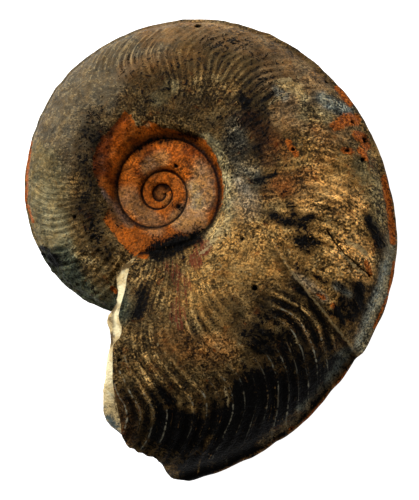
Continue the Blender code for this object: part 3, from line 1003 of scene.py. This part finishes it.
def pit_depth(points, centres):
    """Depth of the pits and the crack at points of the upper side, in millimetres."""
    uneven = 1.0 + PIT_UNEVENNESS * rough_noise(points, *PIT_NOISE)
    depth = np.zeros(len(points))
    for centre, (place, reach, bottom) in zip(centres, PITS):
        near = np.linalg.norm(points - centre, axis=1) / (reach * PIXEL_WIDTH) * uneven
        from_rim = (near - PIT_RIM_PLACE) / PIT_RIM_WIDTH
        rim = PIT_RIM_HEIGHT_SHARE * bottom * np.exp(-from_rim ** 2)
        depth = np.maximum(depth, bottom * smooth(1.15, 0.45, near)) - rim
    near = line_distance(photo_place(points), CRACK) / CRACK_HALF_WIDTH * uneven
    depth = np.maximum(depth, CRACK_DEPTH * smooth(1.3, 0.3, near))
    return depth * (points[:, 2] > 0.0)


def near_pits(points, centres):
    """True close to a pit or the crack, on the upper side."""
    near = line_distance(photo_place(points), CRACK) < REFINE_CRACK_REACH
    for centre, (place, reach, bottom) in zip(centres, PITS):
        near |= np.linalg.norm(points - centre, axis=1) < reach * PIXEL_WIDTH * REFINE_PIT_REACH
    return near & (points[:, 2] > 0.0)


def finish_mesh(fossil):
    """Refine and press in the pits, wear the underside flat, and turn every face outward."""
    work = bmesh.new()
    work.from_mesh(fossil.data)
    loose = [vertex for vertex in work.verts if not vertex.link_faces]
    bmesh.ops.delete(work, geom=loose, context="VERTS")
    bmesh.ops.recalc_face_normals(work, faces=work.faces)
    centres = pit_centres(from_frame(vertex_places(work.verts)))
    for finer in range(REFINE_ROUNDS):
        near = near_pits(from_frame(vertex_places(work.verts)), centres)
        work.verts.index_update()
        edges = [edge for edge in work.edges if near[edge.verts[0].index] and near[edge.verts[1].index]]
        bmesh.ops.subdivide_edges(work, edges=edges, cuts=1, use_grid_fill=True)
    work.normal_update()
    pit = work.verts.layers.float.new("pit")
    depth = pit_depth(from_frame(vertex_places(work.verts)), centres)
    for vertex, down in zip(list(work.verts), depth):
        vertex[pit] = down
        vertex.co -= vertex.normal * down * MM
        vertex.co.z = max(vertex.co.z, 0.0)
    work.to_mesh(fossil.data)
    work.free()
    fossil.data.polygons.foreach_set("use_smooth", [True] * len(fossil.data.polygons))


def linear(name):
    """A named stone colour, from screen values to linear ones."""
    value = np.array(COLORS[name], float) / 255.0
    return np.where(value <= 0.04045, value / 12.92, ((value + 0.055) / 1.055) ** 2.4)


def paint(pixel, edge_noise, strokes, start):
    """Lay soft strokes of colour, or of a plain level, over each other."""
    value = np.tile(start, (len(pixel), 1))
    for paint_value, reach, strength, *places in strokes:
        distance = line_distance(pixel, places) / reach + edge_noise * STROKE_EDGE_UNEVENNESS
        cover = strength * smooth(*STROKE_FADE, distance)
        target = linear(paint_value) if isinstance(paint_value, str) else np.array([paint_value])
        value = value + (target - value) * cover[:, None]
    return value


def mark_level(pixel, marks):
    """One at the middle of each mark, about a half at its edge, and zero far off."""
    level = np.zeros(len(pixel))
    for reach, *places in marks:
        distance = line_distance(pixel, places) / reach
        level = np.maximum(level, np.exp(-MARK_STEEPNESS * distance ** 2))
    return level


def paint_fossil(fossil):
    """Store the colours and levels of every face corner."""
    mesh = fossil.data
    places = np.zeros(len(mesh.vertices) * 3)
    mesh.vertices.foreach_get("co", places)
    points = from_frame(places.reshape(-1, 3))
    upper = smooth(-0.5, 0.5, points[:, 2])
    pixel = photo_place(mirrored_up(points))
    noise = rough_noise(points, *PAINT_NOISE)
    tint = paint(pixel, noise, STROKES, linear("umber"))
    soot = paint(pixel, noise, SOOT, np.array([SOOT_AT_START]))
    crust = paint(pixel, noise, CRUST_STROKES, linear("orange"))
    crust_level = np.clip(0.5 + depth_inside(pixel, CRUST_EDGE) / CRUST_EDGE_WIDTH, 0.0, 1.0)
    fracture = paint(pixel, noise, BREAK_STROKES, linear("umber"))
    under_the_edge = smooth(*BREAK_STROKE_HEIGHTS, points[:, 2])[:, None]
    fracture = fracture + (linear("umber") - fracture) * under_the_edge
    depth = np.zeros(len(points))
    mesh.attributes["pit"].data.foreach_get("value", depth)
    # Painted shade in the pits and the crack, darker where they are deeper
    pits = np.clip(depth / BLACKENED_PIT_DEPTH, 0.0, 1.0)
    marks = [mark_level(pixel, spots) * upper for spots in (STAINS, ORANGE_SPOTS, PALE_SPOTS)]
    # Levels of growth lines, red streaks, painted highlights on the rib crests, and contrast
    wear = [paint(pixel, noise, areas, np.array([start])) for areas, start in (
        (LINE_AREAS, LINES_AT_START), (RED_AREAS, 0.0), (CREST_AREAS, 0.0),
        (CONTRAST_AREAS, CONTRAST_AT_START))]
    corner = np.zeros(len(mesh.loops), np.int64)
    mesh.loops.foreach_get("vertex_index", corner)
    broken = np.zeros(len(mesh.polygons))
    mesh.attributes["broken"].data.foreach_get("value", broken)
    sizes = np.zeros(len(mesh.polygons), np.int64)
    mesh.polygons.foreach_get("loop_total", sizes)
    add_corner_values(mesh, "tint", np.column_stack([tint, soot])[corner])
    add_corner_values(mesh, "crust", np.column_stack([crust, crust_level])[corner])
    add_corner_values(mesh, "marks", np.column_stack(marks + [pits])[corner])
    add_corner_values(mesh, "wear", np.column_stack(wear)[corner])
    add_corner_values(mesh, "fracture", np.column_stack([fracture[corner], np.repeat(broken, sizes)]))


class Stone:
    """The fossil's material, with short calls for its nodes and a store of named values."""

    def __init__(self):
        self.material = bpy.data.materials.new("fossil_stone")
        self.material.use_nodes = True
        self.tree = self.material.node_tree
        self.shader = self.tree.nodes["Principled BSDF"]
        self.values = {}

    def node(self, kind, inputs, **settings):
        """A node; its inputs are numbers, colours, sockets or the names of stored values."""
        node = self.tree.nodes.new(kind)
        for name, value in settings.items():
            setattr(node, name, value)
        for name, value in inputs.items():
            if isinstance(value, str):
                value = self.values[value]
            if isinstance(value, bpy.types.NodeSocket):
                self.tree.links.new(value, node.inputs[name])
            else:
                node.inputs[name].default_value = value
        return node

    def attribute(self, name, fourth, channels=()):
        """The colour of an attribute; its numbers are stored under the names given."""
        node = self.node("ShaderNodeAttribute", {}, attribute_name=name)
        color = node.outputs["Color"]
        self.values[fourth] = node.outputs["Alpha"]
        if channels:
            parts = self.node("ShaderNodeSeparateColor", {0: color})
            self.values.update(zip(channels, parts.outputs))
        return color

    def math(self, operation, first, second=0.0, third=0.0):
        node = self.node("ShaderNodeMath", {0: first, 1: second, 2: third}, operation=operation)
        return node.outputs[0]

    def times(self, first, second):
        return self.math("MULTIPLY", first, second)

    def total(self, start=0.0, **factors):
        """A start plus stored values, with a factor each."""
        for name, factor in factors.items():
            start = self.math("MULTIPLY_ADD", name, factor, start)
        return start

    def noise(self, place, scale, detail, roughness, distortion):
        """Noise around zero, mostly between minus one and one."""
        inputs = {"Vector": place, "Scale": scale, "Detail": detail, "Roughness": roughness,
                  "Distortion": distortion}
        value = self.node("ShaderNodeTexNoise", inputs).outputs[0]
        return self.math("MULTIPLY_ADD", value, 4.0, -2.0)

    def fade(self, value, low, high, start=0.0, end=1.0):
        """A soft change from start to end as the value goes from low to high."""
        inputs = {0: value, 1: low, 2: high, 3: start, 4: end}
        node = self.node("ShaderNodeMapRange", inputs, interpolation_type="SMOOTHSTEP")
        return node.outputs[0]

    def mix(self, factor, first, second, blend="MIX"):
        node = self.node("ShaderNodeMix", {0: factor, 6: first, 7: second}, data_type="RGBA",
                         blend_type=blend)
        return node.outputs[2]

    def scaled(self, color, factor):
        node = self.node("ShaderNodeVectorMath", {0: color, "Scale": factor}, operation="SCALE")
        return node.outputs[0]

    def stretched(self, place, sizes):
        node = self.node("ShaderNodeVectorMath", {0: place, 1: sizes}, operation="MULTIPLY")
        return node.outputs[0]


def flat(name, factor=1.0):
    """A named colour as a socket value."""
    return tuple(linear(name) * factor) + (1.0,)


def store_values(stone):
    """Noise of several sizes, the levels painted on the mesh, and lines along the ribs."""
    values = stone.values
    place = stone.node("ShaderNodeTexCoord", {}).outputs["Object"]
    for name, settings in STONE_NOISES.items():
        values[name] = stone.noise(place, *settings)
    # The fourth number of shell is the seam groove, darkened below as painted shade
    values["shell"] = stone.attribute("shell", "groove", ("rib", "radius", "halt"))
    # The fourth number of marks is the painted shade in the pits and the crack
    stone.attribute("marks", "pit", ("stain", "orange", "pale"))
    # The third number of wear is how strongly the painted highlights on the rib crests show
    stone.attribute("wear", "contrast", ("lines", "red", "crest_lines"))
    values["line"] = stone.noise(stone.stretched("shell", LINE_STRETCH), *LINE_NOISE)
    values["line_strength"] = stone.times("line", "lines")
    values["wave"] = stone.math("COSINE", stone.times("rib", 2.0 * math.pi))
    # Painted light and shade across the ribs: lighter on their crests, darker between them, where growth
    # lines show
    values["crest"] = stone.times("wave", "lines")
    values["warmth"] = stone.total(hue=0.8, grain=0.25, speck=0.1)


def body_color(stone):
    """Mottled brown stone with rusty places, pale grains that are partly painted glints, and red
    streaks.
    """
    tint = stone.attribute("tint", "soot")
    stone.values["fine_speck"] = stone.times("speck", stone.fade("contrast", 0.6, 1.7, 0.2, 1.4))
    # The mottle takes in the painted light and shade across the ribs
    mottle = stone.total(-0.12, patch=1.0, grain=1.1, fine_speck=1.1, cloud=0.75,
                         line_strength=1.6, crest=0.4)
    mottle = stone.times(mottle, stone.fade("unevenness", -0.8, 0.8, 0.6, 1.35))
    body = stone.scaled(tint, stone.math("POWER", 2.0, stone.times(mottle, "contrast")))
    body = stone.mix(stone.fade(mottle, 0.2, 1.4, 0.0, 0.35), body, flat("cream"))
    rusty = stone.fade(stone.total(hue=0.9, patch=0.5, line_strength=0.4), 0.3, 0.9, 0.0, 0.55)
    rusty = stone.times(rusty, stone.fade("contrast", 0.7, 1.5))
    body = stone.mix(rusty, body, flat("rust", 1.2))
    warm = stone.mix(stone.fade("warmth", -0.6, 0.6), *BODY_TINTS)
    body = stone.mix(1.0, body, warm, "MULTIPLY")
    # Pale flecks, partly grains of the stone and partly painted glints, fewer where the manganese lies
    flecks = stone.total(0.45, fleck=1.6, patch=0.7, soot=-2.6)
    body = stone.mix(stone.fade(flecks, 0.95, 1.35, 0.0, 0.6), body, flat("cream"))
    streaks = stone.total("red", line=0.55, grain=0.3)
    return stone.mix(stone.fade(streaks, 0.75, 1.0, 0.0, 0.8), body, flat("crimson"))


def add_crust(stone, body):
    """The orange crust, inside the edge where the outer shell has flaked off."""
    crust = stone.attribute("crust", "crust_level")
    cover = stone.fade(stone.total("crust_level", grain=0.10, patch=0.08), 0.46, 0.54)
    # The crust's mottle also takes in the painted light and shade across the ribs
    mottle = stone.total(-0.3, patch=1.3, grain=1.1, speck=1.15, cloud=0.5, crest=0.4)
    mottle = stone.times(mottle, stone.fade("unevenness", -0.8, 0.8, 0.7, 1.4))
    color = stone.scaled(crust, stone.math("POWER", 2.0, mottle))
    warm = stone.mix(stone.fade("warmth", -0.6, 0.6), *CRUST_TINTS)
    return stone.mix(cover, body, stone.mix(1.0, color, warm, "MULTIPLY"))


def add_spots(stone, body):
    """Orange spots and pale scars."""
    color = stone.mix(stone.fade("speck", -0.5, 0.5), flat("rust"), flat("orange", 1.3))
    spots = stone.total("orange", grain=0.3, patch=0.25)
    body = stone.mix(stone.fade(spots, 0.5, 0.8, 0.0, 0.9), body, color)
    scars = stone.total("pale", grain=0.4, speck=0.3)
    return stone.mix(stone.fade(scars, 0.5, 0.85, 0.0, 0.8), body, flat("cream"))


def add_soot(stone, body):
    """Black manganese in patches and stains, and painted shade in the seams, the pits and the crack."""
    # The manganese is thinner on the rib crests, as painted light there
    soot = stone.total("soot", stain=0.55, patch=0.42, grain=0.40, speck=0.26,
                       line_strength=0.35, crest=-0.14)
    bare = stone.fade(stone.total(line=0.8, patch=0.5, grain=0.15), 0.35, 0.9, 1.0, 0.7)
    dark = stone.times(stone.fade(soot, 0.38, 0.78), bare)
    # Painted shade in the seams, where one whorl meets the next
    seam = stone.fade(stone.total("groove", patch=0.3, grain=0.2), 0.15, 1.0, 0.0, 0.97)
    # Painted shade in the pits and the crack
    dark = stone.math("MAXIMUM", stone.math("MAXIMUM", dark, seam), "pit")
    # The stored darkness holds the manganese and the painted shade of seams, pits and the crack
    stone.values["dark"] = dark
    return stone.mix(dark, body, flat("black"))


def add_crests(stone, body):
    """Painted highlights: pale broken lines on the crests of the ribs in the dark part."""
    part = stone.fade(stone.noise(stone.stretched("shell", CREST_STRETCH), *CREST_NOISE), -0.3, 0.45)
    cover = stone.fade(stone.total(wave=1.0, grain=0.06, patch=0.25), 0.9, 1.12)
    cover = stone.times(stone.times(cover, "crest_lines"), part)
    return stone.mix(cover, body, flat("keel_grey"))


def add_halt(stone, body):
    """Painted shade below the step where growth halted, and a painted highlight along its lip."""
    past = stone.total("halt", patch=0.35, grain=0.2)
    part = stone.times(stone.fade("radius", 26.0, 42.0), stone.fade("patch", -0.7, 0.2, 0.2, 0.85))
    # Painted shade just past the step
    dark = stone.times(stone.fade(past, -0.1, 0.3), stone.fade(past, 2.6, 0.9))
    body = stone.mix(stone.times(dark, part), body, flat("black"))
    # Painted highlight along the lip before the step
    light = stone.times(stone.fade(past, -0.7, -0.4), stone.fade(past, 0.1, -0.2))
    return stone.mix(stone.times(stone.times(light, part), 0.5), body, flat("cream"))


def add_fracture(stone, body):
    """The broken end, with patches of cream crystal."""
    fracture = stone.attribute("fracture", "broken")
    crystal = stone.fade(stone.total(cloud=1.0, patch=0.5, grain=0.2), -0.25, 0.35, 0.0, 0.85)
    fracture = stone.mix(crystal, fracture, flat("cream", 1.6))
    mottle = stone.total(grain=0.25, patch=0.15)
    return stone.mix("broken", body, stone.scaled(fracture, stone.math("POWER", 2.0, mottle)))


def stone_material():
    """Mottled brown stone with black stains, orange crust and pale fractures, and painted light and
    shade on ribs, seams, pits and the growth step.
    """
    stone = Stone()
    store_values(stone)
    body = body_color(stone)
    for add in (add_crust, add_spots, add_soot, add_crests, add_halt, add_fracture):
        body = add(stone, body)
    height = stone.total(grain=0.6, patch=0.6, speck=0.3, line_strength=0.5)
    bump = stone.node("ShaderNodeBump",
                      {"Height": height, "Strength": BUMP_STRENGTH, "Distance": BUMP_DEPTH})
    links = stone.tree.links
    links.new(body, stone.shader.inputs["Base Color"])
    links.new(stone.total(ROUGHNESS, grain=0.08, dark=-0.08), stone.shader.inputs["Roughness"])
    links.new(bump.outputs[0], stone.shader.inputs["Normal"])
    stone.shader.inputs["Specular IOR Level"].default_value = SPECULAR_LEVEL
    return stone.material


def build_floor():
    """A plain pale floor."""
    size = FLOOR_HALF_WIDTH
    corners = [(-size, -size, 0.0), (size, -size, 0.0), (size, size, 0.0), (-size, size, 0.0)]
    mesh = bpy.data.meshes.new("floor")
    mesh.from_pydata(corners, [], [(0, 1, 2, 3)])
    floor = bpy.data.objects.new("floor", mesh)
    bpy.context.scene.collection.objects.link(floor)
    material = bpy.data.materials.new("pale_floor")
    material.use_nodes = True
    shader = material.node_tree.nodes["Principled BSDF"]
    shader.inputs["Base Color"].default_value = FLOOR_COLOR
    shader.inputs["Roughness"].default_value = FLOOR_ROUGHNESS
    shader.inputs["Emission Color"].default_value = WHITE
    shader.inputs["Emission Strength"].default_value = FLOOR_GLOW
    mesh.materials.append(material)


def build_camera():
    """The camera at the photograph's viewing angle."""
    data = bpy.data.cameras.new("camera")
    data.lens = CAMERA_LENS
    data.sensor_width = CAMERA_SENSOR
    data.clip_start = CAMERA_NEAREST
    camera = bpy.data.objects.new("camera", data)
    bpy.context.scene.collection.objects.link(camera)
    camera.matrix_world = Matrix.Translation(camera_place() * MM) @ camera_axes().to_4x4()
    bpy.context.scene.camera = camera


def add_area_light(name, place, size, power):
    data = bpy.data.lights.new(name, "AREA")
    data.size = size
    data.energy = power
    light = bpy.data.objects.new(name, data)
    bpy.context.scene.collection.objects.link(light)
    light.location = place
    light.rotation_euler = Vector(place).to_track_quat("Z", "Y").to_euler()


def build_lights():
    """Two soft lights and a faint white surrounding."""
    for name, (place, size, power) in LIGHTS.items():
        add_area_light(name, place, size, power)
    world = bpy.data.worlds.new("world")
    world.use_nodes = True
    background = world.node_tree.nodes["Background"]
    background.inputs["Color"].default_value = WHITE
    background.inputs["Strength"].default_value = WORLD_STRENGTH
    bpy.context.scene.world = world


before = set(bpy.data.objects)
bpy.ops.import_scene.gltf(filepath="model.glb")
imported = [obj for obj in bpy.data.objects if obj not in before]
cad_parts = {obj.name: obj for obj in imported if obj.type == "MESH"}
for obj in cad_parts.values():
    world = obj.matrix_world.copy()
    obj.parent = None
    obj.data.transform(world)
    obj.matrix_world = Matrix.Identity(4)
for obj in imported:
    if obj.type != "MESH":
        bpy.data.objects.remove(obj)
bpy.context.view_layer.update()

fossil = build_fossil()
finish_mesh(fossil)
paint_fossil(fossil)
fossil.data.materials.append(stone_material())
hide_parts("ammonite")
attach(fossil, "root")

build_floor()
build_camera()
build_lights()
bpy.context.scene.view_settings.view_transform = "Standard"
